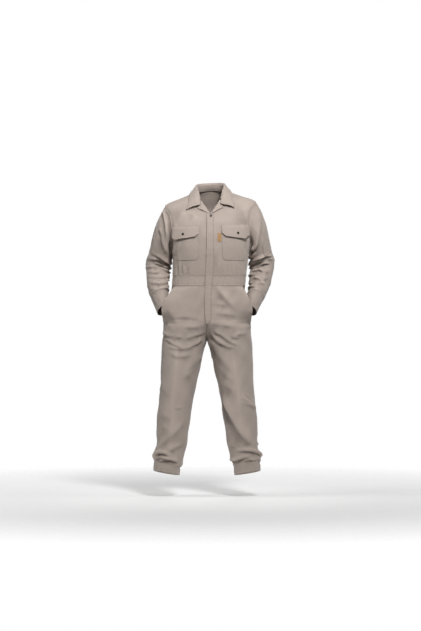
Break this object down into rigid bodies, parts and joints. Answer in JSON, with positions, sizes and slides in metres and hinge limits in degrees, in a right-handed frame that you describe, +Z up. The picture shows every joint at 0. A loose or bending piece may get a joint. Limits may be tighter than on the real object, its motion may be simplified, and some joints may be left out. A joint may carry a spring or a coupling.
{
  "type": "boiler suit",
  "caption": "Long-sleeved one-piece workwear suit, worn and hollow, with shirt collar, chest pockets and both cuffs set into the hip pockets.",
  "frame": {"origin": "middle of the neck opening, level with the inner ends of the shoulder seams, where the wearer's neck and shoulders hold the suit", "axes": "+Z up the body from the hems to the collar, +X towards the wearer's left, -Y towards the front"},
  "size_m": [0.6595, 0.2722, 1.4809],
  "materials": {
    "cloth": "matt taupe-grey cotton twill",
    "snap": "near-black enamelled metal",
    "label": "tan woven tab, bare"
  },
  "bodies": {
    "root": {"front_left": "cloth", "front_right": "cloth", "back": "cloth", "waistband": "cloth", "placket": "cloth", "lapel_left": "cloth", "lapel_right": "cloth", "collar": "cloth", "sleeve_left": "cloth", "sleeve_right": "cloth", "cuff_left": "cloth", "cuff_right": "cloth", "leg_front_left": "cloth", "leg_front_right": "cloth", "leg_back_left": "cloth", "leg_back_right": "cloth", "hip_pocket_left": "cloth", "hip_pocket_right": "cloth", "chest_pocket_left": "cloth", "chest_pocket_right": "cloth", "flap_left": "cloth", "flap_right": "cloth", "sleeve_pocket": "cloth", "chest_snap_left": "snap", "chest_snap_right": "snap", "neck_snap": "snap", "label": "label"}
  },
  "joints": []
}
